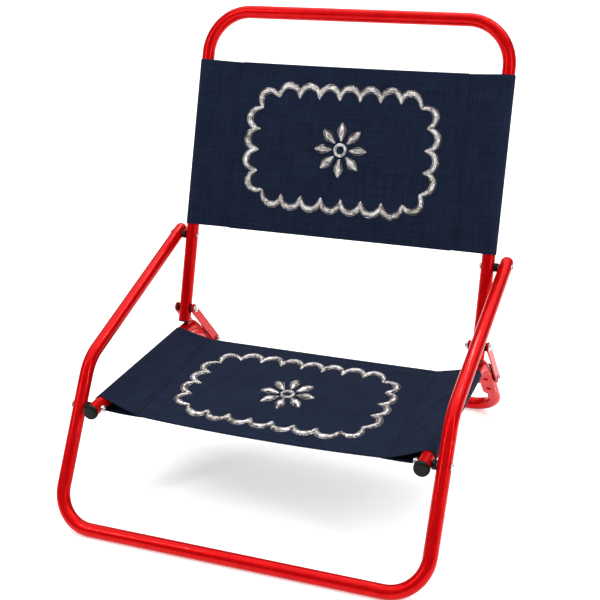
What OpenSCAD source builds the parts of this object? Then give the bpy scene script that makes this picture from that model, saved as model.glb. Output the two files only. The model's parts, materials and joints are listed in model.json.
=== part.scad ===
// Low folding chair: two bent-tube frames, a seat frame, four link plates and two fabric slings.
// X runs across the chair, +Y to its rear and +Z up. The origin is on the floor at the middle of the
// footprint. The profile points are [y, z] pairs, measured from the centre of the front floor bar.

/* [Tube] */
// Outside diameter of every frame tube
tube_d = 22; // [20:0.5:24]
// Wall of the frame tubes
tube_wall = 1.5; // [1:0.1:2]
// Half distance between the centre lines of the front frame's sides
front_half = 299; // [290:1:310]
// Gap between the front frame and the frames that stand inside it
side_gap = 7; // [6:0.5:9]

/* [Front frame] */
// Lean of the front legs from upright
leg_lean = 32.6; // [30:0.2:36]
// Length of the front legs, from the floor bar to the kink
leg_len = 263; // [255:1:270]
// Lean of the arms from upright
arm_lean = 73; // [71:0.5:75]
// Length of the arms, from the kink to the end
arm_len = 361; // [350:1:370]
// Bend radius at the floor corners
floor_bend = 60; // [45:1:80]
// Bend radius at the kink below the arms
kink_bend = 70; // [50:1:90]

/* [Seat frame] */
// Height of the seat rails' centre line
rail_z = 170; // [165:1:175]
// Distance from the front floor bar to the rear floor bar
rear_y = 598; // [594:1:602]
// Slope of the rear legs below level
rear_slope = 50; // [48:0.5:52]
// Bend radius where the seat rails turn down
rail_bend = 40; // [36:1:44]
// Bend radius at the rear floor corners
rear_bend = 50; // [45:1:60]
// Distance up the rear leg from its floor bar to the link pivot
link_up = 133; // [130:1:136]
// Distance up the rear leg from its floor bar to the spreader rod
rod_up = 108; // [104:1:112]

/* [Back frame] */
// Lean of the back from upright
back_lean = 20; // [18:0.5:22]
// Distance from the arm pivot up to the top bar
back_up = 400; // [380:1:420]
// Distance from the arm pivot down to the back frame's link bolt
back_down = 132; // [130:1:134]
// Bend radius at the top corners
top_bend = 75; // [60:1:90]

/* [Slings] */
// Front edge of the seat sling
seat_front = 118; // [114:1:124]
// Length of the seat sling along the rails
seat_len = 282; // [250:1:290]
// Lower edge of the back sling, above the arm pivot
back_start = 20; // [16:1:30]
// Height of the back sling along the back
back_len = 293; // [270:1:305]
// Width of the sleeve, from the tube to the seam
sleeve_w = 65; // [50:1:80]
// Drop of the seat at its seams, and in the middle of its rear and front edges
seat_drop = [8, 6, 18]; // [0:1:30]
// Set-back of the back sling at its seams, and in the middle of its lower and upper edges
back_drop = [7, 13, 13]; // [0:1:20]
// Thickness of one layer of cloth
cloth = 1; // [0.8:0.1:1.4]

/* [Hardware] */
// Diameter of the pivot bolts
bolt_d = 6; // [5:0.5:7]
// Diameter of the black spacers
spacer_d = 15; // [13:0.5:17]
// Width of a link plate
link_w = 17; // [15:0.5:20]
// Thickness of a link plate
link_t = 2.5; // [2:0.1:3]
// Space between a link plate and the tube beside it
link_gap = 4; // [3.8:0.1:4]

/* [Hidden] */
$fn = 64;
facet_fn = 32;
tube_r = tube_d / 2;
bore_r = tube_r - tube_wall;
bolt_r = bolt_d / 2;
run_r = bolt_r + 0.06;
play = 0.2;
arm_setback = 15;
rail_nose = 20;
back_foot = 23;
tongue_t = 4;
tongue_w = 24;
tongue_len = 76;
press_len = 24;
leg_head = 30;
plug_t = 3;
head_t = 3.5;
head_r = 6.5;
nut_t = 5.5;
nut_r = 5.8;
stud_head_r = 4.8;
stud_head_t = 3;
rivet_r = 2.5;
rivet_head_r = 4.2;
rivet_head_t = 2;
rivet_below = 22;
rivet_above = 18;
rod_r = 4;
cap_wall = 1.2;
cap_len = 6;
plug_len = 8;
sleeve_fit = 0.15;
sheet_steps = 8;
sheet_rows = 4;
pocket_part = 0.82;
seam_lap = 5;
lip = 0.15;
screw_r = 3.2;
screw_t = 1.5;
screw_in = 8;
// Cuts run past the faces they open by this much
past = 1;
// Straight runs reach into the bends by the weld, and bends are finer by the ease
weld = 1;
ease = 0.03;

inner_half = front_half - tube_d - side_gap;
outer_face = inner_half + tube_r;
inner_face = inner_half - tube_r;

// Unit step up a line that leans back from upright by an angle
function lean(a) = [sin(a), cos(a)];
// A vector's direction
function unit(v) = v / norm(v);

// Pivot and corner points of the side profile
front_bar = [0, tube_r];
kink = front_bar + leg_len * lean(leg_lean);
arm_end = kink + arm_len * lean(arm_lean);
arm_pivot = arm_end - arm_setback * lean(arm_lean);
rail_pivot = [(rail_z - tube_r) * tan(leg_lean), rail_z];
top_bar = arm_pivot + back_up * lean(back_lean);
back_pivot = arm_pivot - back_down * lean(back_lean);
back_end = back_pivot - back_foot * lean(back_lean);

// The rear leg climbs forward from its floor bar; the rail's pressed end lies against its front
rear_bar = [rear_y, tube_r];
climb = [-cos(rear_slope), sin(rear_slope)];
press_side = [-sin(rear_slope), -cos(rear_slope)];
press_line = rear_bar + (tube_r + tongue_t / 2) * press_side;
link_pivot = rear_bar + link_up * climb;
leg_top = link_pivot + leg_head * climb;
rod_seat = rear_bar + rod_up * climb;
rail_turn = press_line + climb * (rail_z - press_line[1]) / climb[1];
press_start = rail_turn - climb * rail_bend * tan(rear_slope / 2);
tongue_start = press_start - climb * press_len;
rivet_ups = [link_up - rivet_below, link_up + rivet_above];

// Moves a profile point into the chair's frame at a side position x
function place(x, p) = [x, p[0] - top_bar[0] / 2, p[1]];

// Angle by which a path turns at its point i
function turn_at(v, i) =
    acos(min(1, unit(v[i] - v[i - 1]) * unit(v[i + 1] - v[i])));

// A straight round bar between two points
module bar(a, b, r) {
    d = b - a;
    translate(a)
        rotate([0, acos(d[2] / norm(d)), atan2(d[1], d[0])])
            cylinder(h = norm(d), r = r);
}

// The bend at point i of a path, a piece of a ring that meets both straight runs
module bend(v, i, bend_r, r) {
    before = unit(v[i] - v[i - 1]);
    after = unit(v[i + 1] - v[i]);
    turn = turn_at(v, i);
    centre = v[i] + bend_r / cos(turn / 2) * unit(after - before);
    from = unit(v[i] - before * bend_r * tan(turn / 2) - centre);
    up = cross(from, before);
    multmatrix([[from[0], before[0], up[0], centre[0]],
                [from[1], before[1], up[1], centre[1]],
                [from[2], before[2], up[2], centre[2]],
                [0, 0, 0, 1]])
        rotate_extrude(angle = turn)
            translate([bend_r, 0])
                circle(r - ease);
}

// A round bar along a path, with a bend radius for each inner point
module bent_bar(v, bends, r) {
    last = len(v) - 1;
    cuts = [for (i = [0 : last]) i == 0 || i == last ? 0 : bends[i - 1] * tan(turn_at(v, i) / 2)];
    for (i = [0 : last - 1]) {
        run = unit(v[i + 1] - v[i]);
        start = i == 0 ? 0 : cuts[i] - weld;
        stop = i == last - 1 ? 0 : cuts[i + 1] - weld;
        bar(v[i] + run * start, v[i + 1] - run * stop, r);
    }
    for (i = [1 : last - 1])
        bend(v, i, bends[i - 1], r);
}

// Hollow tube along a path
module tube_path(v, bends) {
    difference() {
        bent_bar(v, bends, tube_r);
        bent_bar(v, bends, bore_r);
    }
}

// A pin across the chair between two side positions, through a profile point
module cross_pin(x0, x1, p, r) {
    bar(place(min(x0, x1), p), place(max(x0, x1), p), r);
}

// A ring across the chair, such as a spacer or a nut
module cross_ring(x0, x1, p, r, hole) {
    difference() {
        cross_pin(x0, x1, p, r);
        cross_pin(min(x0, x1) - past, max(x0, x1) + past, p, hole);
    }
}

// A bolt with a round head: the head sits outside x_head and the shank runs in to x_tip
module cross_bolt(side, x_head, x_tip, p) {
    cross_pin(side * x_tip, side * x_head, p, bolt_r);
    cross_pin(side * x_head, side * (x_head + head_t), p, head_r);
}

module front_frame() {
    half = front_half;
    path = [place(-half, arm_end), place(-half, kink), place(-half, front_bar),
            place(half, front_bar), place(half, kink), place(half, arm_end)];
    color("red")
        difference() {
            union() {
                tube_path(path, [kink_bend, floor_bend, floor_bend, kink_bend]);
                for (x = [-half, half])
                    translate(place(x, arm_end - weld * lean(arm_lean)))
                        sphere(tube_r - ease);
            }
            for (p = [rail_pivot, arm_pivot], side = [-1, 1])
                cross_pin(side * (half - tube_d), side * (half + tube_d), p, bolt_r);
        }
}

module back_frame() {
    half = inner_half;
    path = [place(-half, back_end), place(-half, top_bar),
            place(half, top_bar), place(half, back_end)];
    color("red")
        difference() {
            tube_path(path, [top_bend, top_bend]);
            for (side = [-1, 1]) {
                cross_pin(side * (half - tube_d), side * (half + tube_d), back_pivot, run_r);
                cross_pin(side * (half - tube_d), side * (half + tube_d), arm_pivot, bolt_r);
            }
        }
}

module rear_leg_frame() {
    half = inner_half;
    path = [place(-half, leg_top), place(-half, rear_bar),
            place(half, rear_bar), place(half, leg_top)];
    color("red")
        difference() {
            tube_path(path, [rear_bend, rear_bend]);
            for (side = [-1, 1]) {
                cross_pin(side * (half - tube_d), side * (half + tube_d), link_pivot, bolt_r);
                cross_pin(side * (half - tube_d), side * half, rod_seat, rod_r);
            }
            leg_rivet_pins();
        }
}

// The rivets' shanks on both sides, running from the pressed rail end into the rear leg
module leg_rivet_pins() {
    for (x = [-inner_half, inner_half], up = rivet_ups) {
        seat = rear_bar + climb * up;
        bar(place(x, seat + press_side * (tube_r + tongue_t)), place(x, seat + press_side * bore_r / 2),
            rivet_r);
    }
}

// Seat rail: a tube that turns down at the rear and is pressed flat where it lies on the leg
module seat_rail(side) {
    x = side * inner_half;
    nose = [rail_pivot[0] - rail_nose, rail_z];
    color("red")
        difference() {
            union() {
                tube_path([place(x, nose), place(x, rail_turn), place(x, press_start)], [rail_bend]);
                hull() {
                    bar(place(x, press_start + climb * weld), place(x, press_start), tube_r - ease,
                        $fn = facet_fn);
                    tongue(x, tongue_w - ease, tongue_t - ease, weld);
                }
                tongue(x, tongue_w, tongue_t, tongue_len);
            }
            cross_pin(side * (inner_half - tube_d), side * (inner_half + tube_d), rail_pivot, run_r);
            leg_rivet_pins();
        }
}

// The rail's pressed end: a flat strip down the front of the leg, with a round tip
module tongue(x, width, thick, length) {
    translate(place(x, tongue_start))
        rotate([180 - rear_slope, 0, 0])
            translate([0, 0, -thick / 2])
                linear_extrude(thick)
                    strip(width, length);
}

module strip(width, length) {
    translate([-width / 2, -length])
        square([width, length]);
    if (length > width)
        translate([0, -length])
            circle(width / 2);
}

module rail_cap(side) {
    nose = rail_pivot[0] - rail_nose;
    x = side * inner_half;
    color("black")
        difference() {
            bar(place(x, [nose - cap_wall, rail_z]), place(x, [nose + cap_len, rail_z]), tube_r + cap_wall);
            bar(place(x, [nose, rail_z]), place(x, [nose + cap_len + past, rail_z]), tube_r);
        }
}

// A plug in an open tube end: a thick rim outside and a short stem inside
module end_plug(x, p, outward) {
    bar(place(x, p), place(x, p + outward * plug_t), tube_r);
    bar(place(x, p - outward * plug_len), place(x, p + outward * weld), bore_r);
}

module rear_leg_plugs() {
    color("black")
        for (x = [-inner_half, inner_half])
            end_plug(x, leg_top, climb);
}

module back_plugs() {
    color("black")
        for (x = [-inner_half, inner_half])
            end_plug(x, back_end, -lean(back_lean));
}

module spreader_rod() {
    color("red")
        cross_pin(-inner_face - tube_wall, inner_face + tube_wall, rod_seat, rod_r);
}

module leg_rivets(side) {
    color("red")
        for (up = rivet_ups) {
            x = side * inner_half;
            face = rear_bar + climb * up + press_side * (tube_r + tongue_t);
            bar(place(x, face), place(x, face - press_side * (tube_r + tongue_t - bore_r / 2)), rivet_r);
            bar(place(x, face), place(x, face + press_side * rivet_head_t), rivet_head_r);
        }
}

// Outer and inner link plates, flat bars with round ends
module link_plate(side, x0) {
    x1 = x0 + side * link_t;
    run = unit(back_pivot - link_pivot);
    edge = [-run[1], run[0]] * link_w / 2;
    color("red")
        difference() {
            union() {
                cross_pin(x0, x1, back_pivot, link_w / 2);
                cross_pin(x0, x1, link_pivot, link_w / 2);
                translate([min(x0, x1), -top_bar[0] / 2, 0])
                    rotate([90, 0, 90])
                        linear_extrude(link_t)
                            polygon([back_pivot + edge, link_pivot + edge,
                                     link_pivot - edge, back_pivot - edge]);
            }
            cross_pin(x0 - side * past, x1 + side * past, link_pivot, run_r);
            cross_pin(x0 - side * past, x1 + side * past, back_pivot, bolt_r);
        }
}

module link_outer(side) {
    link_plate(side, side * (outer_face + link_gap));
}

module link_inner(side) {
    link_plate(side, side * (inner_face - link_gap - link_t));
}

// Bolts that hold the links: one through the back frame, one through the rear leg
module link_bolt(side, p, slack) {
    color("silver")
        cross_bolt(side, outer_face + link_gap + link_t + slack,
                   inner_face - link_gap - link_t - slack - nut_t, p);
}

module link_nuts(p, slack) {
    start = inner_face - link_gap - link_t - slack;
    color("silver")
        for (side = [-1, 1])
            cross_ring(side * (start - nut_t), side * start, p, nut_r, bolt_r);
}

module link_spacers(p) {
    color("black")
        for (side = [-1, 1]) {
            cross_ring(side * (outer_face + play), side * (outer_face + link_gap - play), p,
                       spacer_d / 2, run_r);
            cross_ring(side * (inner_face - link_gap + play), side * (inner_face - play), p,
                       spacer_d / 2, run_r);
        }
}

// Bolts from the front frame through the seat rails
module rail_bolt(side) {
    color("silver")
        cross_bolt(side, front_half + tube_r, inner_face - play - nut_t, rail_pivot);
}

module rail_bolt_nuts() {
    color("silver")
        for (side = [-1, 1])
            cross_ring(side * (inner_face - play - nut_t), side * (inner_face - play), rail_pivot,
                       nut_r, bolt_r);
}

module side_spacers(p) {
    color("black")
        for (side = [-1, 1])
            cross_ring(side * (outer_face + play), side * (outer_face + side_gap - play), p,
                       spacer_d / 2, bolt_r);
}

// The arm pivot is in two halves that meet beside the back frame: a bolt in the arm, a stud in the back
module arm_bolt(side) {
    color("silver")
        cross_bolt(side, front_half + tube_r, outer_face + play, arm_pivot);
}

module arm_stud(side) {
    x_head = inner_face - play;
    color("silver") {
        cross_pin(side * (x_head - stud_head_t), side * (outer_face - play), arm_pivot, bolt_r);
        cross_ring(side * (x_head - stud_head_t), side * x_head, arm_pivot, stud_head_r, bolt_r);
    }
}

// Point where a line from s touches a circle of radius r, on the side given by turn
function touch(s, r, turn) =
    let (a = atan2(s[1], s[0]) + turn * acos(r / norm(s)))
    r * [cos(a), sin(a)];

// Half of a sling's cross-section: a sleeve around the tube that closes at the seam
module sleeve_profile(drop) {
    seam = [-sleeve_w, -drop];
    hole_r = tube_r + sleeve_fit;
    out_r = hole_r + cloth;
    pocket = seam * pocket_part;
    difference() {
        union() {
            circle(out_r);
            polygon([touch(seam, out_r - lip, -1), seam + [0, cloth], seam - [0, cloth],
                     touch(seam, out_r - lip, 1), [0, 0]]);
        }
        circle(hole_r);
        polygon([touch(pocket, hole_r - lip, -1), pocket, touch(pocket, hole_r - lip, 1), [0, 0]]);
    }
}

// Drop of the sheet at a fraction s of its half width and t of its length
function sheet_drop(drop, s, t) =
    drop[0] + (drop[1] + (drop[2] - drop[1]) * t - drop[0]) * (1 - s * s);

// The sagging sheet between the two seams, which runs a little way into the sleeves
module sheet(length, drop) {
    half = inner_half - sleeve_w + seam_lap;
    across = 2 * sheet_steps + 1;
    under = across * (sheet_rows + 1);
    points = [for (face = [1, -1], j = [0 : sheet_rows], i = [-sheet_steps : sheet_steps])
        let (s = i / sheet_steps, t = j / sheet_rows)
            [s * half, face * cloth - sheet_drop(drop, s, t), length * t]];
    rim = concat([for (i = [0 : across - 2]) i],
                 [for (j = [0 : sheet_rows - 1]) j * across + across - 1],
                 [for (i = [across - 1 : -1 : 1]) sheet_rows * across + i],
                 [for (j = [sheet_rows : -1 : 1]) j * across]);
    faces = [
        for (j = [0 : sheet_rows - 1], i = [0 : across - 2])
            let (a = j * across + i, b = a + across)
                each [[a, a + 1, b + 1], [a, b + 1, b],
                      [a + under, b + 1 + under, a + 1 + under], [a + under, b + under, b + 1 + under]],
        for (k = [0 : len(rim) - 1])
            let (p = rim[k], q = rim[(k + 1) % len(rim)])
                each [[q, p, p + under], [q, p + under, q + under]]
    ];
    polyhedron(points, faces);
}

module sling(length, drop) {
    for (side = [0, 1])
        mirror([side, 0, 0])
            translate([inner_half, 0, 0])
                linear_extrude(length)
                    sleeve_profile(drop[0]);
    sheet(length, drop);
}

module seat_sling() {
    color("midnightblue")
        translate(place(0, [seat_front + seat_len, rail_z]))
            rotate([90, 0, 0])
                sling(seat_len, seat_drop);
}

module back_sling() {
    color("midnightblue")
        translate(place(0, arm_pivot + back_start * lean(back_lean)))
            rotate([-back_lean, 0, 0])
                mirror([0, 1, 0])
                    sling(back_len, back_drop);
}

// Short screws that pin the seat sling's sleeves to the underside of the rails
module seat_sling_screws() {
    gap = tube_r + sleeve_fit + cloth;
    color("silver")
        for (x = [-inner_half, inner_half])
            translate(place(x, [seat_front + screw_in, rail_z - gap - screw_t]))
                cylinder(h = screw_t, r = screw_r);
}

seat_rail(-1);  // seat_rail_left
seat_rail(1);  // seat_rail_right
rail_cap(-1);  // rail_cap_left
rail_cap(1);  // rail_cap_right
rear_leg_frame();
rear_leg_plugs();
spreader_rod();
leg_rivets(-1);  // leg_rivets_left
leg_rivets(1);  // leg_rivets_right
link_bolt(-1, link_pivot, play);  // link_pivot_bolt_left
link_bolt(1, link_pivot, play);  // link_pivot_bolt_right
link_nuts(link_pivot, play);  // link_pivot_nuts
link_spacers(link_pivot);  // link_pivot_spacers
seat_sling();
seat_sling_screws();
front_frame();
rail_bolt(-1);  // rail_bolt_left
rail_bolt(1);  // rail_bolt_right
rail_bolt_nuts();
side_spacers(rail_pivot);  // rail_spacers
arm_bolt(-1);  // arm_bolt_left
arm_bolt(1);  // arm_bolt_right
side_spacers(arm_pivot);  // arm_spacers
back_frame();
back_plugs();
arm_stud(-1);  // arm_stud_left
arm_stud(1);  // arm_stud_right
back_sling();
link_outer(-1);  // link_outer_left
link_outer(1);  // link_outer_right
link_inner(-1);  // link_inner_left
link_inner(1);  // link_inner_right
link_bolt(-1, back_pivot, 0);  // back_bolt_left
link_bolt(1, back_pivot, 0);  // back_bolt_right
link_nuts(back_pivot, 0);  // back_bolt_nuts
link_spacers(back_pivot);  // back_spacers
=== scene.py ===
"""Folding camp chair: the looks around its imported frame, in metres, +Y to the rear and +Z up."""

import json
import math
import random

import bpy
from mathutils import Matrix, Vector


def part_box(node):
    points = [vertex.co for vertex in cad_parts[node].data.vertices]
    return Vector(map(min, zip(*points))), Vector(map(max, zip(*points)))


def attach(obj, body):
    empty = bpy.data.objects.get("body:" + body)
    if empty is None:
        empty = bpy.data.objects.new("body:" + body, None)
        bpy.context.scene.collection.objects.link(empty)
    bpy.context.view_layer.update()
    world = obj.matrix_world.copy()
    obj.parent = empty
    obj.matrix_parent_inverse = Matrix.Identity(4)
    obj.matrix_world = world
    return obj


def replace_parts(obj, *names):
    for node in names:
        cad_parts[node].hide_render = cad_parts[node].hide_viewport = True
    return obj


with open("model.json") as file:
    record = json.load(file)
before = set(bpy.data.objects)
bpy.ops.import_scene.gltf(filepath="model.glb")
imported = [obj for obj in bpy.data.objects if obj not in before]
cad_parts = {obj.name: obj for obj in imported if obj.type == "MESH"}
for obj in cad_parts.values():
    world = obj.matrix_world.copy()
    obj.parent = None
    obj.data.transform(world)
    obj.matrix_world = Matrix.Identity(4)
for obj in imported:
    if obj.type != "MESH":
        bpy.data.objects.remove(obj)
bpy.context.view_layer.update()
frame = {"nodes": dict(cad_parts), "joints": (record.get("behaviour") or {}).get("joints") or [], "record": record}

JOINTS = {joint["name"]: Vector(joint["pos_m"]) for joint in frame["joints"]}

# Sizes that the frame doesn't list, in metres and degrees. The seam is measured in from the tube's centre
# line, the stitch rows outwards from the seam, and the hem's row from the open edge.
TUBE_R = 0.011
SEAM_IN = 0.065
STITCH_ROWS = (0.0015, 0.0075)
HEM_ROW = 0.011
REAR_SLOPE = 50
RAIL_BEND = 0.040
PRESS_THICK = 0.004
PRESS_WIDTH = 0.024
SHARP_ANGLE = 40
SIDES = (-1, 1)
X_AXIS = Vector((1, 0, 0))
FLAT_UV = "flat"


def node_middle(name):
    """The middle of a CAD node's box."""
    low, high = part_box(name)
    return (low + high) / 2


ARM_PIVOT = Vector((0, node_middle("arm_spacers").y, node_middle("arm_spacers").z))
RAIL_PIVOT = JOINTS["front_fold"]
BACK_PIVOT = JOINTS["back_fold"]
LINK_PIVOT = JOINTS["link_fold"]
INNER_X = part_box("back_frame")[1].x - TUBE_R
OUTER_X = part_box("front_frame")[1].x - TUBE_R
BACK_UP = (ARM_PIVOT - BACK_PIVOT).normalized()
BACK_FRONT = X_AXIS.cross(BACK_UP)


# ---------------------------------------------------------------- node materials


class Nodes:
    """Short calls for building one material's node tree."""

    def __init__(self, name):
        self.material = bpy.data.materials.new(name)
        self.material.use_nodes = True
        self.tree = self.material.node_tree
        self.shader = self.tree.nodes["Principled BSDF"]

    def add(self, kind, **settings):
        node = self.tree.nodes.new(kind)
        for key, value in settings.items():
            setattr(node, key, value)
        return node

    def link(self, source, target):
        self.tree.links.new(source, target)

    def set(self, **values):
        for key, value in values.items():
            self.shader.inputs[key.replace("_", " ")].default_value = value

    def math(self, operation, first, second=0.0, third=0.0):
        node = self.add("ShaderNodeMath", operation=operation)
        for socket, value in zip(node.inputs, (first, second, third)):
            if isinstance(value, (int, float)):
                socket.default_value = value
            else:
                self.link(value, socket)
        return node.outputs[0]

    def bell(self, off):
        """1 where off is 0, falling smoothly to 0 on both sides."""
        square = self.math("MULTIPLY", off, off)
        return self.math("POWER", 2.718, self.math("MULTIPLY", square, -1.0))

    def noise(self, vector, scale, detail=4.0, roughness=0.55):
        node = self.add("ShaderNodeTexNoise")
        node.inputs["Scale"].default_value = scale
        node.inputs["Detail"].default_value = detail
        node.inputs["Roughness"].default_value = roughness
        self.link(vector, node.inputs["Vector"])
        return node.outputs["Fac"]

    def stretch(self, vector, scale):
        node = self.add("ShaderNodeMapping")
        node.inputs["Scale"].default_value = scale
        self.link(vector, node.inputs["Vector"])
        return node.outputs["Vector"]

    def ramp(self, value, stops):
        node = self.add("ShaderNodeValToRGB")
        ramp = node.color_ramp
        while len(ramp.elements) < len(stops):
            ramp.elements.new(1.0)
        for element, (place, colour) in zip(ramp.elements, stops):
            element.position = place
            element.color = (*colour, 1)
        self.link(value, node.inputs["Fac"])
        return node.outputs["Color"]

    def bump(self, height, distance, strength=1.0, under=None):
        node = self.add("ShaderNodeBump")
        node.inputs["Distance"].default_value = distance
        node.inputs["Strength"].default_value = strength
        self.link(height, node.inputs["Height"])
        if under is not None:
            self.link(under, node.inputs["Normal"])
        return node.outputs["Normal"]

    def place(self):
        return self.add("ShaderNodeTexCoord").outputs["Object"]

    def uv(self):
        return self.add("ShaderNodeUVMap", uv_map=FLAT_UV).outputs["UV"]


def red_paint():
    """Gloss enamel on steel tube: faint orange peel, dust-fine mottling, scuffs near the floor."""
    n = Nodes("red_enamel")
    place = n.place()
    mottle = n.noise(place, 60, 5)
    n.link(n.ramp(mottle, [(0.3, (0.44, 0.0010, 0.0018)), (0.7, (0.54, 0.0022, 0.0035))]),
           n.shader.inputs["Base Color"])
    scuff = n.noise(n.stretch(place, (1.0, 6.0, 6.0)), 90, 6, 0.7)
    height = n.add("ShaderNodeSeparateXYZ")
    n.link(place, height.inputs[0])
    low = n.math("MULTIPLY_ADD", height.outputs["Z"], -16.0, 0.5)
    near_floor = n.math("MAXIMUM", low, 0.0)
    marks = n.math("MULTIPLY", n.math("MAXIMUM", n.math("SUBTRACT", scuff, 0.55), 0.0), near_floor)
    n.link(n.math("ADD", n.math("MULTIPLY", mottle, 0.08), n.math("MULTIPLY_ADD", marks, 3.0, 0.20)),
           n.shader.inputs["Roughness"])
    n.link(n.bump(n.noise(place, 520, 2), 0.0002, 0.35), n.shader.inputs["Normal"])
    n.set(Metallic=0.40, Specular_Tint=(1, 0.12, 0.12, 1), Specular_IOR_Level=0.1,
          Coat_Weight=0.28, Coat_Roughness=0.04, Coat_IOR=1.30)
    return n.material


def black_plastic():
    """Moulded black nylon with a fine satin grain."""
    n = Nodes("black_nylon")
    place = n.place()
    n.link(n.ramp(n.noise(place, 140, 4),
                  [(0.3, (0.0020, 0.0020, 0.0024)), (0.75, (0.0060, 0.0060, 0.0066))]),
           n.shader.inputs["Base Color"])
    n.link(n.math("MULTIPLY_ADD", n.noise(place, 300, 3), 0.20, 0.22), n.shader.inputs["Roughness"])
    n.link(n.bump(n.noise(place, 1500, 3), 0.0002, 0.5), n.shader.inputs["Normal"])
    n.set(Specular_IOR_Level=0.12)
    return n.material


def zinc_steel():
    """Bright zinc plating on bolts and nuts, with faint handling marks."""
    n = Nodes("zinc_plating")
    place = n.place()
    n.link(n.ramp(n.noise(place, 220, 4), [(0.25, (0.50, 0.50, 0.53)), (0.75, (0.74, 0.74, 0.76))]),
           n.shader.inputs["Base Color"])
    n.link(n.math("MULTIPLY_ADD", n.noise(place, 700, 5, 0.7), 0.30, 0.12), n.shader.inputs["Roughness"])
    n.link(n.bump(n.noise(place, 1800, 2), 0.0001, 0.4), n.shader.inputs["Normal"])
    n.set(Metallic=1.0)
    return n.material


def cloth_material():
    """Navy polyester canvas in plain weave. The UV map is the flat cloth in metres."""
    n = Nodes("navy_canvas")
    uv = n.uv()
    thread = 0.0009
    parts = n.add("ShaderNodeSeparateXYZ")
    n.link(n.stretch(uv, (math.pi / thread, math.pi / thread, 1)), parts.inputs[0])
    warp = n.math("SINE", parts.outputs["X"])
    weft = n.math("SINE", parts.outputs["Y"])
    over = n.math("MULTIPLY", warp, weft)
    ridges = n.math("MAXIMUM", n.math("ABSOLUTE", warp), n.math("ABSOLUTE", weft))
    weave = n.math("MULTIPLY_ADD", over, 0.45, n.math("MULTIPLY", ridges, 0.55))
    slub_across = n.noise(n.stretch(uv, (40, 900, 1)), 1, 4, 0.6)
    slub_along = n.noise(n.stretch(uv, (900, 40, 1)), 1, 4, 0.6)
    slub = n.math("ADD", slub_across, slub_along)
    streaks = n.math("ADD", n.noise(n.stretch(uv, (14, 210, 1)), 1, 3, 0.6),
                     n.noise(n.stretch(uv, (210, 14, 1)), 1, 3, 0.6))
    cloud = n.noise(uv, 22, 4)
    tone = n.math("ADD", n.math("MULTIPLY_ADD", slub, 0.34, n.math("MULTIPLY", streaks, 0.38)),
                  n.math("ADD", n.math("MULTIPLY_ADD", cloud, 0.24, -0.28), n.math("MULTIPLY", weave, 0.08)))
    place = n.add("ShaderNodeSeparateXYZ")
    n.link(n.place(), place.inputs[0])
    out = n.math("ABSOLUTE", place.outputs["X"])
    # Painted shade: the cloth's colour is darkened in a narrow band along each stitch row, where the stitched
    # groove lies in shadow
    for row in STITCH_ROWS:
        off = n.math("DIVIDE", n.math("SUBTRACT", out, INNER_X - SEAM_IN + row), 0.0016)
        tone = n.math("MULTIPLY_ADD", n.bell(off), -0.13, tone)
    n.link(n.ramp(tone, [(0.30, (0.0016, 0.0034, 0.0100)), (0.52, (0.0040, 0.0082, 0.0225)),
                         (0.72, (0.0078, 0.0142, 0.0350))]), n.shader.inputs["Base Color"])
    n.link(n.math("MULTIPLY_ADD", slub, 0.12, 0.70), n.shader.inputs["Roughness"])
    fine = n.bump(weave, 0.00022, 0.8)
    n.link(n.bump(slub, 0.0003, 0.45, fine), n.shader.inputs["Normal"])
    n.set(Sheen_Weight=0.04, Sheen_Roughness=0.40, Sheen_Tint=(0.45, 0.60, 0.85, 1),
          Specular_IOR_Level=0.09)
    return n.material


def navy_thread():
    """Sewing thread a shade lighter than the cloth, twisted along its length."""
    n = Nodes("navy_thread")
    place = n.place()
    n.link(n.ramp(n.noise(place, 900, 3), [(0.3, (0.004, 0.007, 0.016)), (0.7, (0.012, 0.019, 0.040))]),
           n.shader.inputs["Base Color"])
    n.link(n.bump(n.noise(place, 2600, 2), 0.0002, 0.7), n.shader.inputs["Normal"])
    n.set(Roughness=0.55, Specular_IOR_Level=0.3)
    return n.material


def silver_embroidery():
    """Padded satin stitch in silver thread. U runs along a stroke in metres and V across it, 0 to 1."""
    n = Nodes("silver_embroidery")
    uv = n.uv()
    place = n.place()
    parts = n.add("ShaderNodeSeparateXYZ")
    n.link(uv, parts.inputs[0])
    slant = n.math("MULTIPLY_ADD", parts.outputs["Y"], 2.2, n.math("MULTIPLY", parts.outputs["X"], 4600.0))
    threads = n.math("MULTIPLY_ADD", n.math("SINE", slant), 0.5, 0.5)
    # Painted shade: the silver is darkened in a narrow band on each side of a stroke, along the groove between the
    # padded middle and the cord
    across = n.math("ABSOLUTE", n.math("SUBTRACT", parts.outputs["Y"], 0.5))
    off = n.math("DIVIDE", n.math("SUBTRACT", across, 0.365), 0.045)
    rim = n.math("MULTIPLY", n.bell(off), -0.26)
    crinkle = n.noise(place, 120, 2, 0.5)
    patch = n.noise(place, 48, 2, 0.5)
    # Painted shade and highlight: the crinkle noise that raises the bump also darkens the silver in its hollows
    # and lightens it on its crests; the patch noise adds a random tone
    folds = n.math("ADD", n.math("MULTIPLY", crinkle, 0.80), n.math("MULTIPLY", patch, 0.45))
    tone = n.math("ADD", folds, n.math("MULTIPLY_ADD", threads, 0.07, rim))
    n.link(n.ramp(tone, [(0.36, (0.055, 0.048, 0.044)), (0.52, (0.235, 0.215, 0.205)),
                         (0.64, (0.43, 0.405, 0.395)), (0.78, (0.68, 0.66, 0.655))]),
           n.shader.inputs["Base Color"])
    n.link(n.math("MULTIPLY_ADD", patch, 0.22, 0.16), n.shader.inputs["Roughness"])
    coarse = n.bump(crinkle, 0.0040, 0.8)
    n.link(n.bump(threads, 0.00016, 0.8, coarse), n.shader.inputs["Normal"])
    n.set(Metallic=0.85)
    return n.material


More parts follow.
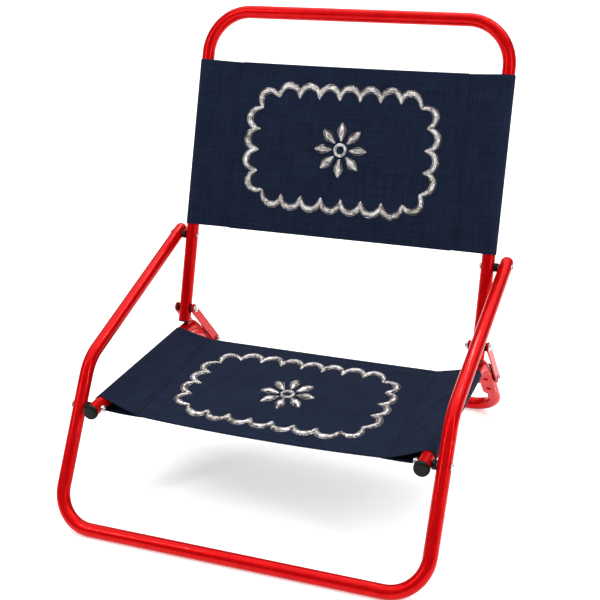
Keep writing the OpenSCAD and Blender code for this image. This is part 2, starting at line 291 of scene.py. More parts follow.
def floor_material():
    """Plain matt white floor."""
    n = Nodes("studio_floor")
    n.set(Base_Color=(0.92, 0.92, 0.92, 1), Roughness=0.75, Specular_IOR_Level=0.15,
          Emission_Color=(1, 1, 1, 1), Emission_Strength=0.40)
    return n.material


RED = red_paint()
BLACK = black_plastic()
ZINC = zinc_steel()
CLOTH = cloth_material()
THREAD = navy_thread()
SILVER = silver_embroidery()


# ---------------------------------------------------------------- mesh building


class Shape:
    """Collects the vertices, faces and UVs of one piece."""

    def __init__(self):
        self.verts = []
        self.faces = []
        self.uvs = []

    def grid(self, rows, uv_rows=None, closed=False):
        """Faces between rows of points. A closed grid joins each row's last point to its first."""
        base = len(self.verts)
        width = len(rows[0])
        for row in rows:
            self.verts.extend(row)
        for i in range(len(rows) - 1):
            for j in range(width if closed else width - 1):
                k = (j + 1) % width
                self.faces.append((base + i * width + j, base + i * width + k,
                                   base + (i + 1) * width + k, base + (i + 1) * width + j))
                if uv_rows:
                    self.uvs.extend((uv_rows[i][j], uv_rows[i][k], uv_rows[i + 1][k], uv_rows[i + 1][j]))
                else:
                    self.uvs.extend([(0, 0)] * 4)

    def lathe(self, origin, axis, profile, segments=36):
        """A turned shape: profile is (distance along the axis, radius) pairs."""
        axis = axis.normalized()
        across = axis.orthogonal().normalized()
        other = axis.cross(across)
        rows = []
        for along, radius in profile:
            ring = []
            for k in range(segments):
                angle = 2 * math.pi * k / segments
                ring.append(origin + axis * along + (across * math.cos(angle) + other * math.sin(angle))
                            * max(radius, 1e-5))
            rows.append(ring)
        self.grid(rows, closed=True)

    def piece(self, name, body, material):
        """Makes the object, which rides on a body."""
        mesh = bpy.data.meshes.new(name)
        mesh.from_pydata([tuple(v) for v in self.verts], [], self.faces)
        layer = mesh.uv_layers.new(name=FLAT_UV)
        for loop, uv in zip(layer.data, self.uvs):
            loop.uv = uv
        mesh.materials.append(material)
        for polygon in mesh.polygons:
            polygon.use_smooth = True
        obj = bpy.data.objects.new(name, mesh)
        bpy.context.scene.collection.objects.link(obj)
        mark_sharp_edges(mesh)
        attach(obj, body)
        return obj


def mark_sharp_edges(mesh):
    """Keeps edges sharper than SHARP_ANGLE crisp."""
    limit = math.radians(SHARP_ANGLE)
    faces_of = {}
    for polygon in mesh.polygons:
        for key in polygon.edge_keys:
            faces_of.setdefault(key, []).append(polygon.normal)
    for edge in mesh.edges:
        normals = faces_of.get(edge.key, [])
        edge.use_edge_sharp = len(normals) == 2 and normals[0].angle(normals[1], 0) > limit


# ---------------------------------------------------------------- slings


class Sling:
    """A cloth panel with a sleeve around the tube at each side. x runs across and v along the tubes."""

    thick = 0.0011

    def __init__(self, node, origin, along, normal, drops, creases):
        self.node = node
        self.origin = origin
        self.along = along
        self.normal = normal
        steps = [along.dot(Vector(v.co) - origin) for v in frame["nodes"][node].data.vertices]
        self.start = min(steps)
        self.length = max(steps) - min(steps)
        self.drops = drops
        self.seam_x = INNER_X - SEAM_IN
        self.creases = creases
        self.wrap_r = TUBE_R + 0.0002 + self.thick / 2

    def crease(self, x, v):
        """Height of the tension folds: long soft ridges, each (x, v, angle, length, width, height)."""
        total = 0.0
        for cx, cv, angle, length, width, height in self.creases:
            dx, dv = x - cx, v - cv
            c, s = math.cos(math.radians(angle)), math.sin(math.radians(angle))
            t, w = dx * c + dv * s, -dx * s + dv * c
            total += height * math.exp(-(t / length) ** 2 - (w / width) ** 2)
        return total

    def pucker(self, x, v):
        """The stitched rows pull the cloth down in narrow grooves with small regular puckers."""
        wave = 1 + 0.30 * math.sin(v * 2 * math.pi / 0.0135 + 3 * math.sin(v * 31))
        total = 0.0
        for row in STITCH_ROWS:
            reach = (abs(x) - self.seam_x - row) / 0.0019
            total -= 0.0008 * math.exp(-reach * reach) * wave
        reach = (min(v, self.length - v) - HEM_ROW) / 0.0022
        total -= 0.0005 * math.exp(-reach * reach) * min(1.0, max(0.0, (self.seam_x - abs(x)) / 0.01))
        return total

    def drops_at(self, v):
        """Drop of the seams and of the middle at a distance along the sling."""
        t = min(1.0, max(0.0, v / self.length))
        return [first + (last - first) * t for first, last in zip(*self.drops)]

    def height(self, x, v):
        """Height of the cloth between the seams, along the normal."""
        s = min(1.0, abs(x) / self.seam_x)
        seam, middle = self.drops_at(v)
        sag = seam + (middle - seam) * (1 - s ** 2.2)
        fade = 1 - s ** 8
        return -sag + self.crease(x, v) * fade + self.pucker(x, v)

    def point(self, x, v, lift=0.0):
        """A point on the upper face of the cloth between the tubes, lifted along the normal."""
        if abs(x) <= self.seam_x:
            h = self.height(x, v)
        else:
            h = self.sleeve_height(abs(x) - self.seam_x, v) + self.crease(x, v)
        return (self.origin + X_AXIS * x + self.along * (self.start + v)
                + self.normal * (h + self.thick / 2 + lift))

    def sleeve_height(self, out, v):
        """Height of the sleeve's upper layer at a distance outside the seam."""
        (x0, h0), (x1, h1) = self.sleeve_line(v)
        t = min(1.0, max(0.0, out / (x1 - x0)))
        return h0 + (h1 - h0) * t - 0.0012 * math.sin(math.pi * t) + self.pucker(self.seam_x + out, v)

    def tangent(self, v, turn):
        """Where the sleeve meets the tube, as an angle around the tube's centre."""
        dx, dh = -SEAM_IN, -self.drops_at(v)[0]
        return math.atan2(dh, dx) + turn * math.acos(self.wrap_r / math.hypot(dx, dh))

    def sleeve_line(self, v):
        """The seam and the upper tangent point, as (x, height)."""
        angle = self.tangent(v, -1) % (2 * math.pi)
        return ((self.seam_x, -self.drops_at(v)[0]),
                (INNER_X + self.wrap_r * math.cos(angle), self.wrap_r * math.sin(angle)))

    def half_path(self, v):
        """Cross-section from the middle outwards, round the tube and back to the seam, as (x, h)."""
        points = []
        fine = 0.012
        for i in range(31):
            x = (self.seam_x - fine) * i / 30
            points.append((x, self.height(x, v)))
        for i in range(1, 13):
            x = self.seam_x - fine + fine * i / 12
            points.append((x, self.height(x, v)))
        (x0, _), (x1, _) = self.sleeve_line(v)
        outs = [fine * i / 14 for i in range(1, 15)]
        outs += [fine + (x1 - x0 - fine) * i / 13 for i in range(1, 13)]
        for out in outs:
            points.append((x0 + out, self.sleeve_height(out, v) + self.crease(x0 + out, v)))
        top = self.tangent(v, -1) % (2 * math.pi)
        bottom = (self.tangent(v, 1) % (2 * math.pi)) - 2 * math.pi
        for i in range(21):
            angle = top + (bottom - top) * i / 20
            points.append((INNER_X + self.wrap_r * math.cos(angle), self.wrap_r * math.sin(angle)))
        foot = (self.seam_x - 0.006, self.height(self.seam_x - 0.006, v) - self.thick * 1.25)
        xb, hb = points[-1]
        for i in range(1, 15):
            t = i / 14
            x = xb + (foot[0] - xb) * t
            points.append((x, hb + (foot[1] - hb) * t - 0.0015 * math.sin(math.pi * t) * (1 - 0.3 * t)))
        return points

    def build(self, body, trim):
        """The cloth and its hems. trim makes the other pieces that are sewn on it."""
        rows, uv_rows = [], []
        count = 128
        width = 0.0
        for i in range(count + 1):
            v = self.length * i / count
            half = self.half_path(v)
            # The two sides crease differently, so each side has a cross-section of its own
            left = self.mirror().half_path(v)
            mirrored = [(-x, h) for x, h in reversed(left[1:])]
            section = mirrored + half
            row, uv_row, u = [], [], 0.0
            for k, (x, h) in enumerate(section):
                if k:
                    u += math.hypot(x - section[k - 1][0], h - section[k - 1][1])
                row.append(self.origin + X_AXIS * x + self.along * (self.start + v) + self.normal * h)
                uv_row.append((u, v))
            width = max(width, u)
            rows.append(row)
            uv_rows.append(uv_row)
        shape = Shape()
        shape.grid(rows, uv_rows)
        piece = shape.piece(self.node + "_cloth", body, CLOTH)
        solid = piece.modifiers.new("thickness", "SOLIDIFY")
        solid.thickness = self.thick
        solid.offset = 0
        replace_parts(piece, self.node)
        sewn = [self.hem(body, end) for end in (0, 1)] + trim(self)

    def mirror(self):
        """The same sling with its creases seen from the other side."""
        other = Sling.__new__(Sling)
        other.__dict__.update(self.__dict__)
        other.creases = [(-cx, cv, 180 - angle, length, width, height)
                         for cx, cv, angle, length, width, height in self.creases]
        return other

    def hem(self, body, end):
        """The turned-under hem along one open edge, between the sleeves."""
        depth = 0.014
        rows, uv_rows = [], []
        reach = self.seam_x - 0.002
        for j in range(61):
            x = -reach + 2 * reach * j / 60
            row, uv_row = [], []
            for k in range(9):
                t = k / 8
                inward = depth * t - 0.0008 * math.cos(math.pi * min(1, t * 4) / 2)
                v = inward if end == 0 else self.length - inward
                under = -self.thick * (0.25 + 1.1 * math.sin(math.pi / 2 * min(1, t * 4)))
                row.append(self.point(x, min(max(v, 0), self.length), under - self.thick / 2)
                           + self.along * (v - min(max(v, 0), self.length)))
                uv_row.append((x, v))
            rows.append(row)
            uv_rows.append(uv_row)
        shape = Shape()
        shape.grid(rows, uv_rows)
        piece = shape.piece(f"{self.node}_hem_{('near', 'far')[end]}", body, CLOTH)
        solid = piece.modifiers.new("thickness", "SOLIDIFY")
        solid.thickness = self.thick * 0.9
        solid.offset = 0
        return piece


# ---------------------------------------------------------------- stitching


def stitch_row(shape, sling, path, rng):
    """Thread stitches along a path of (x, v) points on a sling."""
    pitch, long, radius = 0.0042, 0.0031, 0.00033
    lengths = [0.0]
    for a, b in zip(path, path[1:]):
        lengths.append(lengths[-1] + math.hypot(b[0] - a[0], b[1] - a[1]))

    def at(distance):
        for i in range(1, len(path)):
            if distance <= lengths[i] or i == len(path) - 1:
                t = (distance - lengths[i - 1]) / (lengths[i] - lengths[i - 1])
                t = min(1.0, max(0.0, t))
                return (path[i - 1][0] + (path[i][0] - path[i - 1][0]) * t,
                        path[i - 1][1] + (path[i][1] - path[i - 1][1]) * t)

    for k in range(int(lengths[-1] / pitch)):
        start = k * pitch + rng.uniform(-0.0002, 0.0002) + pitch * 0.15
        rows = []
        for j in range(5):
            t = j / 4
            x, v = at(start + long * t)
            nx, nv = at(start + long * t + 0.001)
            run = (sling.point(nx, nv) - sling.point(x, v)).normalized()
            side = run.cross(sling.normal).normalized()
            centre = sling.point(x, v, radius * (0.9 * math.sin(math.pi * t) - 0.25))
            size = radius * (0.45 + 0.55 * math.sin(math.pi * t))
            rows.append([centre + (side * math.cos(a) + sling.normal * math.sin(a)) * size
                         for a in (2 * math.pi * m / 6 for m in range(6))])
        shape.grid(rows, closed=True)


def stitching(sling, body, name, seed):
    """Two rows down each sleeve seam and one row along each hem."""
    shape = Shape()
    rng = random.Random(seed)
    ends = (0.003, sling.length - 0.003)
    for side in SIDES:
        for out in STITCH_ROWS:
            x = side * (sling.seam_x + out)
            stitch_row(shape, sling, [(x, ends[0]), (x, ends[1])], rng)
    for v in (HEM_ROW, sling.length - HEM_ROW):
        xs = [-sling.seam_x + 2 * sling.seam_x * k / 40 for k in range(41)]
        stitch_row(shape, sling, [(x, v) for x in xs], rng)
    return shape.piece(name, body, THREAD)


# ---------------------------------------------------------------- embroidery


def bezier(points, count):
    """Points along a Bezier curve of any order."""
    out = []
    order = len(points) - 1
    for i in range(count + 1):
        t = i / count
        x = y = 0.0
        for k, (px, py) in enumerate(points):
            w = math.comb(order, k) * (1 - t) ** (order - k) * t ** k
            x += px * w
            y += py * w
        out.append((x, y))
    return out


def puff(u, piped):
    """Height across a stroke, -1 to 1: a padded middle, and outside it a groove and a thin cord."""
    if not piped:
        return math.sqrt(max(0.0, 1 - u * u))
    middle, cord = 0.74, 0.13
    if abs(u) < middle:
        return 0.16 + 0.84 * math.sqrt(1 - (u / middle) ** 2)
    off = (abs(u) - 1 + cord) / cord
    return 0.46 * math.sqrt(max(0.0, 1 - off * off))


def stroke(shape, sling, path, widths, piped=True):
    """A padded satin stroke along (x, v) points. It rises by a share of its width."""
    rise, sunk = 0.38, 0.0004
    count = len(path)
    section = 25 if piped else 13
    rows, uv_rows = [], []
    run = 0.0
    for i, (x, v) in enumerate(path):
        before, after = path[max(0, i - 1)], path[min(count - 1, i + 1)]
        dx, dv = after[0] - before[0], after[1] - before[1]
        size = math.hypot(dx, dv) or 1.0
        sx, sv = -dv / size, dx / size
        if i:
            run += math.hypot(x - path[i - 1][0], v - path[i - 1][1])
        half = widths[i] / 2
        row, uv_row = [], []
        for j in range(section):
            u = -1 + 2 * j / (section - 1)
            lift = widths[i] * rise * puff(u, piped) - sunk
            row.append(sling.point(x + sx * u * half, v + sv * u * half, lift))
            uv_row.append((run, (u + 1) / 2))
        rows.append(row)
        uv_rows.append(uv_row)
    shape.grid(rows, uv_rows)


def taper(count, first, middle, last, peak):
    """Widths that run from first through middle at the peak to last, with rounded tips."""
    widths = []
    for i in range(count):
        t = i / (count - 1)
        if t < peak:
            s = t / peak
            w = first + (middle - first) * (s * s * (3 - 2 * s))
        else:
            s = (t - peak) / (1 - peak)
            w = middle + (last - middle) * (s * s * (3 - 2 * s))
        tip = min(1.0, min(t, 1 - t) * count / 3.2)
        widths.append(w * math.sqrt(max(0.02, 1 - (1 - tip) ** 2)))
    return widths


def rounded_rectangle(half_w, half_h, corner):
    """Its length, and a function that gives a point and the outward direction at a distance along it."""
    sides = [(2 * (half_w - corner), 0), (math.pi / 2 * corner, 1), (2 * (half_h - corner), 0),
             (math.pi / 2 * corner, 1)] * 2
    total = sum(length for length, _ in sides)

    def at(distance):
        distance %= total
        x, y, heading = -half_w + corner, half_h, 0.0
        for length, is_arc in sides:
            part = min(distance, length)
            if is_arc:
                turn = part / corner
                cx, cy = x + corner * math.sin(heading), y - corner * math.cos(heading)
                x = cx - corner * math.sin(heading - turn)
                y = cy + corner * math.cos(heading - turn)
                heading -= turn
            else:
                x += part * math.cos(heading)
                y += part * math.sin(heading)
            distance -= part
            if distance <= 0:
                break
        return x, y, -math.sin(heading), math.cos(heading)

    return total, at


def scallop_border(shape, sling, centre, half_w, half_h):
    """Identical round scallops along a rounded rectangle."""
    corner, count = 0.030, 24
    total, at = rounded_rectangle(half_w, half_h, corner)
    step = total / count
    bulge = step * 0.80
    widths = taper(25, 0.0080, 0.0125, 0.0080, 0.5)
    for k in range(count):
        ax, ay, _, _ = at(k * step)
        bx, by, _, _ = at((k + 1) * step)
        _, _, ox, oy = at((k + 0.5) * step)
        arc = bezier([(ax, ay), (ax + ox * bulge, ay + oy * bulge),
                      (bx + ox * bulge, by + oy * bulge), (bx, by)], 24)
        stroke(shape, sling, [(centre[0] + x, centre[1] + y) for x, y in arc], widths)


def rosette(shape, sling, centre):
    """Eight plain petals round a ring."""
    ring_r, ring_width, petals = 0.0095, 0.0068, 8
    petal_gap, petal_length = 0.0055, 0.0330
    loop = [(centre[0] + ring_r * math.cos(a), centre[1] + ring_r * math.sin(a))
            for a in (2 * math.pi * k / 36 for k in range(37))]
    stroke(shape, sling, loop, [ring_width] * 37, piped=False)
    widths = taper(21, 0.0055, 0.0165, 0.0060, 0.55)
    for k in range(petals):
        angle = math.pi / 2 + 2 * math.pi * k / petals
        c, s = math.cos(angle), math.sin(angle)
        path = [(centre[0] + c * r, centre[1] + s * r)
                for r in (ring_r + petal_gap + petal_length * i / 20 for i in range(21))]
        stroke(shape, sling, path, widths)


def embroidery(sling, body, name, centre):
    """The raised decoration on a sling: a scalloped border round a rosette."""
    shape = Shape()
    scallop_border(shape, sling, centre, 0.150, 0.084)
    rosette(shape, sling, centre)
    return shape.piece(name, body, SILVER)


# ---------------------------------------------------------------- hardware


def arm_stud(side):
    """A riveted stud in the back tube, with a low domed head on the tube's inner face."""
    node = f"arm_stud_{'left' if side < 0 else 'right'}"
    low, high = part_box(node)
    inner, outer = sorted((abs(low.x), abs(high.x)))
    radius = (high.z - low.z) / 2
    profile = [(0, 0), (0, 0.0018), (0.0006, 0.0034), (0.0016, radius - 0.0004), (0.0022, radius),
               (0.0030, radius), (0.0030, 0.003), (outer - inner, 0.003), (outer - inner, 0)]
    shape = Shape()
    shape.lathe(Vector((side * inner, ARM_PIVOT.y, ARM_PIVOT.z)), X_AXIS * side, profile)
    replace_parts(shape.piece(node + "_steel", "back", ZINC), node)


def dome_bolt(name, node, body, side, x_head, x_tip, pivot):
    """A round-headed bolt across the chair, with a washer rim and a domed head."""
    shape = Shape()
    axis = X_AXIS * side
    start = Vector((side * x_head, pivot.y, pivot.z))
    head = [(-0.0004, 0.0), (-0.0004, 0.0062), (0.0, 0.0066), (0.0007, 0.0066), (0.0009, 0.0058),
            (0.0012, 0.0054), (0.0020, 0.0050), (0.0028, 0.0041), (0.0033, 0.0026), (0.00345, 0.0)]
    shape.lathe(start, axis, head)
    length = x_head - x_tip
    shank = [(-length - 0.0002, 0.0), (-length - 0.0002, 0.0024), (-length + 0.0005, 0.003),
             (0.0, 0.003)]
    shape.lathe(start, axis, shank, 24)
    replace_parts(shape.piece(name, body, ZINC), node)


def spacer_ring(shape, side, x0, x1, pivot, radius, hole):
    """A moulded spacer: softened rims and a waist that is a touch finer."""
    soft = 0.0006
    length = x1 - x0
    profile = [(0, hole), (0, radius - soft), (soft, radius), (length / 2, radius - 0.0003),
               (length - soft, radius), (length, radius - soft), (length, hole), (0, hole)]
    shape.lathe(Vector((side * x0, pivot.y, pivot.z)), X_AXIS * side, profile)


def spacers(name, node, body, pivot, spans):
    """Spacers on both sides of the chair, one for each span."""
    radius, hole = 0.0075, 0.0031
    shape = Shape()
    for side in SIDES:
        for x0, x1 in spans:
            spacer_ring(shape, side, x0, x1, pivot, radius, hole)
    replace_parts(shape.piece(name, body, BLACK), node)


def hex_nut(shape, side, x0, x1, pivot, radius, hole):
    """A hexagon nut with chamfered corners and a round locking collar on its free side."""
    rows = []
    height = x1 - x0
    for along, r_flat, r_round in ((0, 1, 0.93), (0.12, 1, 1), (0.66, 1, 1), (0.74, 1, 0.93)):
        ring = []
        for k in range(48):
            angle = 2 * math.pi * k / 48
            local = (angle % (math.pi / 3)) - math.pi / 6
            hexagon = radius * math.cos(math.pi / 6) / math.cos(local)
            r = min(hexagon * r_flat, radius * r_round)
            ring.append(Vector((side * (x0 + height * along), pivot.y + r * math.cos(angle),
                                pivot.z + r * math.sin(angle))))
        rows.append(ring)
    shape.grid(rows, closed=True)
    collar = radius * 0.80
    profile = [(height * 0.74, radius * 0.93), (height * 0.74, collar), (height * 0.93, collar),
               (height, collar * 0.88), (height, hole), (0, hole), (0, radius * 0.93)]
    shape.lathe(Vector((side * x0, pivot.y, pivot.z)), X_AXIS * side, profile, 48)


def nuts(name, node, body, pivot, x_face):
    """A nut on each side of the chair."""
    height, radius, hole = 0.0052, 0.0060, 0.003
    shape = Shape()
    for side in SIDES:
        hex_nut(shape, side, x_face, x_face - height, pivot, radius, hole)
    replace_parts(shape.piece(name, body, ZINC), node)


def tube_plugs(name, node, body, origin, axis):
    """Domed plugs in two open tube ends, with a tapered stem that stays inside."""
    shape = Shape()
    for side in SIDES:
        place = Vector((side * INNER_X, origin.y, origin.z))
        profile = [(-0.012, 0.0), (-0.012, 0.0085), (-0.0002, 0.0092), (-0.0002, TUBE_R - 0.0004),
                   (0.0004, TUBE_R), (0.0018, TUBE_R), (0.0026, TUBE_R - 0.0012),
                   (0.0030, TUBE_R - 0.0040), (0.0030, 0.0)]
        shape.lathe(place, axis, profile)
    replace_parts(shape.piece(name, body, BLACK), node)


def rail_cap(side):
    """Push-on nose cap on a seat rail, with a rolled mouth and a rounded end."""
    node = f"rail_cap_{'left' if side < 0 else 'right'}"
    low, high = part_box(node)
    length = high.y - low.y
    radius = (high.x - low.x) / 2
    origin = Vector((side * INNER_X, low.y, (low.z + high.z) / 2))
    profile = [(0, 0), (0, radius - 0.0035), (0.0004, radius - 0.0018), (0.0014, radius - 0.0005),
               (0.0028, radius), (length - 0.0030, radius), (length - 0.0022, radius + 0.0004),
               (length - 0.0008, radius + 0.0004), (length, radius - 0.0003), (length, TUBE_R + 0.0001)]
    shape = Shape()
    shape.lathe(origin, Vector((0, 1, 0)), profile)
    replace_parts(shape.piece(node + "_moulding", "seat", BLACK), node)


def rail_section(width, thick, square):
    """A tube's outline that squares up as it is pressed flat, as (across, up) pairs."""
    count = 40
    power = 2 / (2 + square)
    points = []
    for k in range(count):
        c, s = math.cos(2 * math.pi * k / count), math.sin(2 * math.pi * k / count)
        points.append((math.copysign(abs(c) ** power, c) * width / 2,
                       math.copysign(abs(s) ** power, s) * thick / 2))
    return points


def seat_rail(side):
    """A seat rail: bent down at the rear, then pressed flat in a smooth flare against the rear leg."""
    node = f"seat_rail_{'left' if side < 0 else 'right'}"
    low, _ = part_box(node)
    x, z = side * INNER_X, RAIL_PIVOT.z
    slope = math.radians(REAR_SLOPE)
    down = Vector((0, math.cos(slope), -math.sin(slope)))
    press = LINK_PIVOT + Vector((0, -math.sin(slope), -math.cos(slope))) * (TUBE_R + PRESS_THICK / 2)
    turn = press - down * ((press.z - z) / down.z)
    reach = RAIL_BEND * math.tan(slope / 2)
    centre = Vector((0, turn.y - reach, z - RAIL_BEND))
    stations = [(Vector((0, low.y, z)), 0.0), (Vector((0, turn.y - reach, z)), 0.0)]
    for k in range(1, 17):
        a = slope * k / 16
        stations.append((centre + Vector((0, math.sin(a), math.cos(a))) * RAIL_BEND, a))
    flare, flat, tip = 0.024, 0.076, 0.012
    pressed = 5.0
    rows = []
    shapes = [(2 * TUBE_R, 2 * TUBE_R, 0.0)] * len(stations)
    start = stations[-1][0]
    for k in range(1, 15):
        t = k / 14
        ease = t * t * (3 - 2 * t)
        stations.append((start + down * flare * t, slope))
        shapes.append((2 * TUBE_R + (PRESS_WIDTH - 2 * TUBE_R) * ease,
                       2 * TUBE_R + (PRESS_THICK - 2 * TUBE_R) * ease, pressed * ease))
    for k in range(1, 5):
        stations.append((start + down * (flare + flat * k / 4), slope))
        shapes.append((PRESS_WIDTH, PRESS_THICK, pressed))
    for k in range(1, 13):
        a = math.pi / 2 * k / 12
        stations.append((start + down * (flare + flat + tip * math.sin(a)), slope))
        shapes.append((PRESS_WIDTH * max(0.02, math.cos(a)),
                       PRESS_THICK * max(0.5, math.cos(a) ** 0.3), pressed))
    for (place, a), (width, thick, square) in zip(stations, shapes):
        up = Vector((0, math.sin(a), math.cos(a)))
        rows.append([Vector((x, 0, 0)) + place + X_AXIS * across + up * high
                     for across, high in rail_section(width, thick, square)])
    shape = Shape()
    shape.grid(rows, closed=True)
    for row in (rows[0], rows[-1]):
        middle = sum(row, Vector()) / len(row)
        shape.grid([row, [middle + (point - middle) * 0.01 for point in row]], closed=True)
    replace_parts(shape.piece(node + "_tube", "seat", RED), node)


def hardware():
    """Every bolt, nut, spacer and plug, with its own moulded or turned shape."""
    face_out = INNER_X + TUBE_R
    face_in = INNER_X - TUBE_R
    gap = OUTER_X - TUBE_R - face_out
    play, link_gap, plate_thick = 0.0002, 0.004, 0.0025
    nut_reach, link_reach, tube_end = 0.0054, 0.0124, 0.023
    for side in SIDES:
        hand = "left" if side < 0 else "right"
        dome_bolt(f"rail_bolt_{hand}_steel", f"rail_bolt_{hand}", "front", side,
                  OUTER_X + TUBE_R, face_in - play - nut_reach, RAIL_PIVOT)
        dome_bolt(f"arm_bolt_{hand}_steel", f"arm_bolt_{hand}", "front", side,
                  OUTER_X + TUBE_R, face_out + play, ARM_PIVOT)
        for node, body, pivot, slack in ((f"back_bolt_{hand}", "links", BACK_PIVOT, 0.0),
                                         (f"link_pivot_bolt_{hand}", "seat", LINK_PIVOT, play)):
            plate_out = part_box(f"link_outer_{hand}")
            x_head = max(abs(plate_out[0].x), abs(plate_out[1].x)) + slack
            dome_bolt(f"{node}_steel", node, body, side, x_head, face_in - link_reach - slack, pivot)
        seat_rail(side)
        rail_cap(side)
        arm_stud(side)
    spacers("rail_spacers_moulding", "rail_spacers", "front", RAIL_PIVOT,
            [(face_out + play, face_out + gap - play)])
    spacers("arm_spacers_moulding", "arm_spacers", "front", ARM_PIVOT,
            [(face_out + play, face_out + gap - play)])
    spans = [(face_out + play, face_out + link_gap - play),
             (face_in - link_gap + play, face_in - play)]
    spacers("back_spacers_moulding", "back_spacers", "links", BACK_PIVOT, spans)
    spacers("link_spacers_moulding", "link_pivot_spacers", "seat", LINK_PIVOT, spans)
    nuts("rail_bolt_nuts_steel", "rail_bolt_nuts", "front", RAIL_PIVOT, face_in - play)
    plate_in = face_in - link_gap - plate_thick
    nuts("back_bolt_nuts_steel", "back_bolt_nuts", "links", BACK_PIVOT, plate_in)
    nuts("link_pivot_nuts_steel", "link_pivot_nuts", "seat", LINK_PIVOT, plate_in - play)
    foot = BACK_PIVOT - BACK_UP * tube_end
    tube_plugs("back_plugs_moulding", "back_plugs", "back", foot, -BACK_UP)


# ---------------------------------------------------------------- CAD nodes that stay


def dress_cad_nodes():
    """Gives every CAD node the material of its slot."""
    by_slot = {"red_paint": RED, "black_plastic": BLACK, "zinc_steel": ZINC, "navy_fabric": CLOTH}
    slots = {part["node"]: part["material_slot"] for part in frame["record"]["subparts"]}
    for name, obj in frame["nodes"].items():
        obj.data.materials.clear()
        obj.data.materials.append(by_slot[slots[name]])


# ---------------------------------------------------------------- studio and camera


def studio():
    """Pale floor, plain surroundings and soft lights."""
    shape = Shape()
    reach = 60
    shape.grid([[Vector((-reach, -reach, 0)), Vector((reach, -reach, 0))],
                [Vector((-reach, reach, 0)), Vector((reach, reach, 0))]])
    mesh = bpy.data.meshes.new("floor")
    mesh.from_pydata([tuple(v) for v in shape.verts], [], shape.faces)
    mesh.materials.append(floor_material())
    floor = bpy.data.objects.new("floor", mesh)
    bpy.context.scene.collection.objects.link(floor)
    world = bpy.data.worlds.new("studio")
    bpy.context.scene.world = world
    world.use_nodes = True
    tree = world.node_tree
    parts = tree.nodes.new("ShaderNodeSeparateXYZ")
    tree.links.new(tree.nodes.new("ShaderNodeTexCoord").outputs["Generated"], parts.inputs[0])
    ramp = tree.nodes.new("ShaderNodeValToRGB")
    stops = [(0.0, 0.62), (0.06, 0.34), (0.25, 0.12), (0.50, 0.50), (1.0, 1.0)]
    while len(ramp.color_ramp.elements) < len(stops):
        ramp.color_ramp.elements.new(1.0)
    for element, (height, grey) in zip(ramp.color_ramp.elements, stops):
        element.position = height
        element.color = (grey, grey, grey, 1)
    tree.links.new(parts.outputs["Z"], ramp.inputs["Fac"])
    tree.links.new(ramp.outputs["Color"], tree.nodes["Background"].inputs["Color"])
    tree.nodes["Background"].inputs["Strength"].default_value = 0.75
    # Past the floor's edge the camera sees plain white; the gradient only lights and reflects
    backdrop = tree.nodes.new("ShaderNodeBackground")
    backdrop.inputs["Color"].default_value = (1, 1, 1, 1)
    seen = tree.nodes.new("ShaderNodeMixShader")
    tree.links.new(tree.nodes.new("ShaderNodeLightPath").outputs["Is Camera Ray"], seen.inputs["Fac"])
    tree.links.new(tree.nodes["Background"].outputs[0], seen.inputs[1])
    tree.links.new(backdrop.outputs[0], seen.inputs[2])
    tree.links.new(seen.outputs[0], tree.nodes["World Output"].inputs["Surface"])
    lights = [
        ("key_strip", (-1.6, -1.7, 2.0), 0.08, 1.8, 26),
        ("side_strip", (2.3, -0.9, 1.4), 0.07, 1.8, 20),
        ("top_strip", (0.3, 1.2, 2.6), 2.2, 0.10, 20),
    ]
    sun = bpy.data.lights.new("sky_box", "SUN")
    sun.energy, sun.angle = 2.3, math.radians(90)
    sky = bpy.data.objects.new("sky_box", sun)
    sky.rotation_euler = (math.radians(-20), math.radians(-2), 0)
    bpy.context.scene.collection.objects.link(sky)
    aim = Vector((0, 0, 0.3))
    for name, place, width, height, power in lights:
        data = bpy.data.lights.new(name, "AREA")
        data.shape = "RECTANGLE"
        data.size, data.size_y, data.energy = width, height, power
        light = bpy.data.objects.new(name, data)
        light.location = place
        light.rotation_mode = "QUATERNION"
        light.rotation_quaternion = (Vector(place) - aim).to_track_quat("Z", "Y")
        bpy.context.scene.collection.objects.link(light)


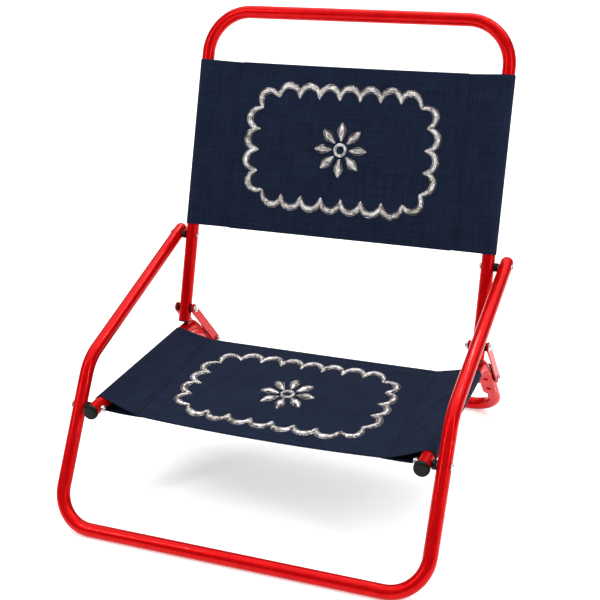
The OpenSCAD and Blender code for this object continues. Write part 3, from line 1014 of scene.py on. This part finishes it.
def camera():
    """The camera looks down on the chair's front from its left, with a slight tilt."""
    azimuth, elevation, roll = map(math.radians, (22.0, 22.8, -1.8))
    distance, focal, sensor = 2.017, 71.2, 36.0
    target = Vector((-0.0331, 0.089907, 0.2673))
    back = Vector((math.sin(azimuth) * math.cos(elevation), -math.cos(azimuth) * math.cos(elevation),
                   math.sin(elevation)))
    right = (-back).cross(Vector((0, 0, 1))).normalized()
    up = right.cross(-back)
    right, up = right * math.cos(roll) + up * math.sin(roll), up * math.cos(roll) - right * math.sin(roll)
    data = bpy.data.cameras.new("camera")
    data.lens, data.sensor_width = focal, sensor
    data.clip_end = 100
    obj = bpy.data.objects.new("camera", data)
    obj.matrix_world = Matrix((right, up, back)).transposed().to_4x4()
    obj.location = target + back * distance
    bpy.context.scene.collection.objects.link(obj)
    bpy.context.scene.camera = obj


camera()
studio()
dress_cad_nodes()
hardware()

rail_line = Vector((0, 0, RAIL_PIVOT.z))
SEAT = Sling("seat_sling", rail_line, Vector((0, 1, 0)), Vector((0, 0, 1)),
             ((0.0125, 0.0180), (0.0035, 0.0040)),
             [(-0.16, 0.03, 20, 0.10, 0.010, 0.0014), (0.19, 0.20, 70, 0.05, 0.007, 0.0016),
              (0.23, 0.12, 55, 0.035, 0.006, 0.0022), (0.24, 0.17, 60, 0.035, 0.006, 0.0022),
              (0.225, 0.07, 50, 0.030, 0.005, 0.0018)])
BACK = Sling("back_sling", ARM_PIVOT, BACK_UP, BACK_FRONT, ((0.0075, 0.0142), (0.0075, 0.0142)),
             [(-0.235, 0.045, 60, 0.045, 0.007, 0.0026), (0.215, 0.03, 120, 0.05, 0.008, 0.0018),
              (0.0, 0.012, 0, 0.16, 0.008, 0.0008), (0.10, 0.275, 8, 0.10, 0.012, 0.0009)])
SEAT.build("seat", lambda sling: [
    stitching(sling, "seat", "seat_stitching", 11),
    embroidery(sling, "seat", "seat_embroidery", (-0.005, 0.140))])
BACK.build("back", lambda sling: [
    stitching(sling, "back", "back_stitching", 12),
    embroidery(sling, "back", "back_embroidery", (-0.010, 0.152))])

bpy.context.scene.view_settings.view_transform = "Standard"
